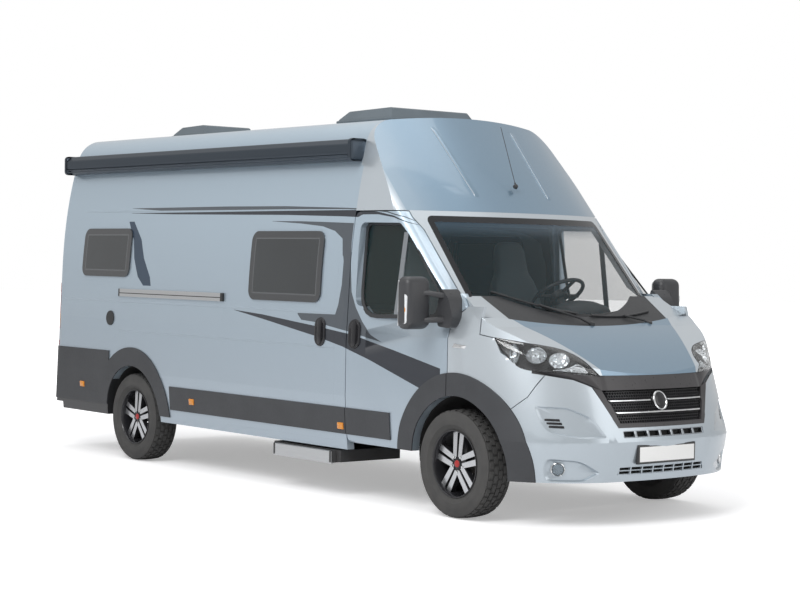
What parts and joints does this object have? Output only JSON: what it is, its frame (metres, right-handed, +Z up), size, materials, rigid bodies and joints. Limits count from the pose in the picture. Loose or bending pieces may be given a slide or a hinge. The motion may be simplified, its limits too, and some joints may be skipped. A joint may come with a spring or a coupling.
{
  "type": "camper van",
  "caption": "High-roofed camper van with hinged cab and rear doors, lifting bonnet, steered front wheels, side awning, entry step and a furnished living space.",
  "frame": {"origin": "on the ground, midway along the length and across the width", "axes": "+X forwards, +Y to the vehicle's left, +Z up"},
  "size_m": [6.363, 2.58, 2.7895],
  "materials": {
    "paint": "metallic silver-blue lacquer",
    "dark_plastic": "grained, matte",
    "black_plastic": "satin",
    "glass": "tinted",
    "clear_lens": "clear",
    "red_lens": "translucent red",
    "aluminium": "anodised",
    "alloy": "machined and black",
    "rubber": "matte",
    "tyre": "matte",
    "steel": "black chassis coating",
    "iron": "rough",
    "fabric": "light grey upholstery",
    "wood": "light oak laminate",
    "floor": "sheet floor",
    "white_plastic": "smooth",
    "exhaust_steel": "dull"
  },
  "bodies": {
    "body": {"side_wall_right": "paint", "side_wall_left": "paint", "sliding_door": "paint", "side_windows": "glass", "side_trims": "dark_plastic", "roof_panel": "paint", "roof_cap": "paint", "roof_hatches": "white_plastic", "windscreen": "glass", "windscreen_frame": "paint", "front_lamps": "clear_lens", "front_wings": "paint", "cowl": "black_plastic", "wipers": "black_plastic", "front_bumper": "paint", "grilles": "black_plastic", "rear_frame": "paint", "tail_lamps": "red_lens", "rear_bumper": "dark_plastic", "awning": "aluminium", "floor_pan": "floor", "wheel_housings": "black_plastic", "chassis_frame": "steel", "front_suspension": "steel", "rear_axle": "steel", "engine_block": "iron", "fuel_tank": "black_plastic", "exhaust": "exhaust_steel", "step_housing": "aluminium", "dashboard": "black_plastic", "cab_seats": "fabric", "furniture": "wood", "cushions": "fabric", "side_fittings": "aluminium"},
    "cab_door_right": {"cab_door_right": "paint", "cab_glass_right": "glass", "door_trim_right": "dark_plastic", "mirror_right": "black_plastic"},
    "cab_door_left": {"cab_door_left": "paint", "cab_glass_left": "glass", "door_trim_left": "dark_plastic", "mirror_left": "black_plastic"},
    "rear_door_right": {"rear_door_right": "paint", "rear_glass_right": "glass"},
    "rear_door_left": {"rear_door_left": "paint", "rear_glass_left": "glass"},
    "bonnet": {"bonnet": "paint"},
    "knuckle_right": {"knuckle_right": "iron"},
    "knuckle_left": {"knuckle_left": "iron"},
    "wheel_front_right": {"tyre_front_right": "tyre", "rim_front_right": "alloy"},
    "wheel_front_left": {"tyre_front_left": "tyre", "rim_front_left": "alloy"},
    "wheel_rear_right": {"tyre_rear_right": "tyre", "rim_rear_right": "alloy"},
    "wheel_rear_left": {"tyre_rear_left": "tyre", "rim_rear_left": "alloy"},
    "steering_wheel": {"steering_wheel": "black_plastic"},
    "entry_step": {"entry_step": "aluminium"}
  },
  "joints": [
    {"name": "cab_door_right_swing", "type": "hinge", "parent": "body", "child": "cab_door_right", "pos_m": [2.292, -1.026, 1], "axis": [0, 0, 1], "range_deg": [0, 70]},
    {"name": "cab_door_left_swing", "type": "hinge", "parent": "body", "child": "cab_door_left", "pos_m": [2.292, 1.026, 1], "axis": [0, 0, -1], "range_deg": [0, 70]},
    {"name": "rear_door_right_swing", "type": "hinge", "parent": "body", "child": "rear_door_right", "pos_m": [-3.16, -0.85, 1.4], "axis": [0, 0, 1], "range_deg": [0, 180]},
    {"name": "rear_door_left_swing", "type": "hinge", "parent": "body", "child": "rear_door_left", "pos_m": [-3.16, 0.85, 1.4], "axis": [0, 0, -1], "range_deg": [0, 180]},
    {"name": "bonnet_lift", "type": "hinge", "parent": "body", "child": "bonnet", "pos_m": [2.44, 0, 1.338], "axis": [0, -1, 0], "range_deg": [0, 50]},
    {"name": "steer_right", "type": "hinge", "parent": "body", "child": "knuckle_right", "pos_m": [2.2335, -0.83, 0.355], "axis": [0, 0, 1], "range_deg": [-35, 35]},
    {"name": "steer_left", "type": "hinge", "parent": "body", "child": "knuckle_left", "pos_m": [2.2335, 0.83, 0.355], "axis": [0, 0, 1], "range_deg": [-35, 35]},
    {"name": "wheel_front_right_spin", "type": "hinge", "parent": "knuckle_right", "child": "wheel_front_right", "pos_m": [2.2335, -0.905, 0.355], "axis": [0, 1, 0], "continuous": true},
    {"name": "wheel_front_left_spin", "type": "hinge", "parent": "knuckle_left", "child": "wheel_front_left", "pos_m": [2.2335, 0.905, 0.355], "axis": [0, 1, 0], "continuous": true},
    {"name": "wheel_rear_right_spin", "type": "hinge", "parent": "body", "child": "wheel_rear_right", "pos_m": [-1.8015, -0.895, 0.355], "axis": [0, 1, 0], "continuous": true},
    {"name": "wheel_rear_left_spin", "type": "hinge", "parent": "body", "child": "wheel_rear_left", "pos_m": [-1.8015, 0.895, 0.355], "axis": [0, 1, 0], "continuous": true},
    {"name": "steering_wheel_turn", "type": "hinge", "parent": "body", "child": "steering_wheel", "pos_m": [1.68, 0.43, 1.44], "axis": [-0.5736, 0, 0.8192], "range_deg": [-540, 540]},
    {"name": "entry_step_slide", "type": "slide", "parent": "body", "child": "entry_step", "axis": [0, -1, 0], "range_m": [0, 0.25]}
  ],
  "couplings": [
    {"joint": "steer_left", "follows": "steer_right", "ratio": 1}
  ]
}
